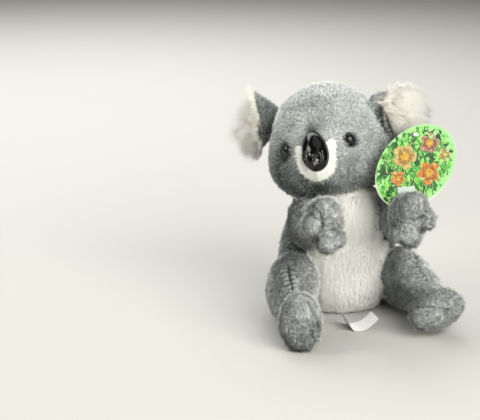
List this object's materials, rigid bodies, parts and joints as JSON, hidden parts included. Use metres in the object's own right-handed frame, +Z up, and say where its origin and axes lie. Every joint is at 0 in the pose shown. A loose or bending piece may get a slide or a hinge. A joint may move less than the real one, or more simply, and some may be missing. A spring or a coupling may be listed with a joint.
{
  "type": "plush toy koala",
  "caption": "Sitting plush toy koala: a stuffed body of short grey pile with white belly and muzzle, fluffy ears, glossy nose and eyes, and a swing tag",
  "frame": {"origin": "On the surface that the toy sits on, under the middle of its bounding box.", "axes": "+Z up, the belly and feet point along -Y, and the toy's own left side is +X."},
  "size_m": [0.1418, 0.1666, 0.1641],
  "materials": {
    "grey_pile": "short polyester pile",
    "white_pile": "soft white polyester pile",
    "black_plastic": "moulded gloss",
    "printed_card": "coated card",
    "clear_nylon": "translucent moulded",
    "white_satin": "woven satin ribbon"
  },
  "bodies": {
    "root": {"head": "grey_pile", "muzzle": "white_pile", "nose": "black_plastic", "torso": "grey_pile", "belly": "white_pile", "eye_left": "black_plastic", "ear_left": "grey_pile", "ear_pile_left": "white_pile", "arm_left": "grey_pile", "paw_left": "grey_pile", "leg_left": "grey_pile", "foot_left": "grey_pile", "sole_left": "grey_pile", "eye_right": "black_plastic", "ear_right": "grey_pile", "ear_pile_right": "white_pile", "arm_right": "grey_pile", "paw_right": "grey_pile", "leg_right": "grey_pile", "foot_right": "grey_pile", "sole_right": "grey_pile", "swing_tag": "printed_card", "tag_pin": "clear_nylon", "care_label": "white_satin"}
  },
  "joints": []
}
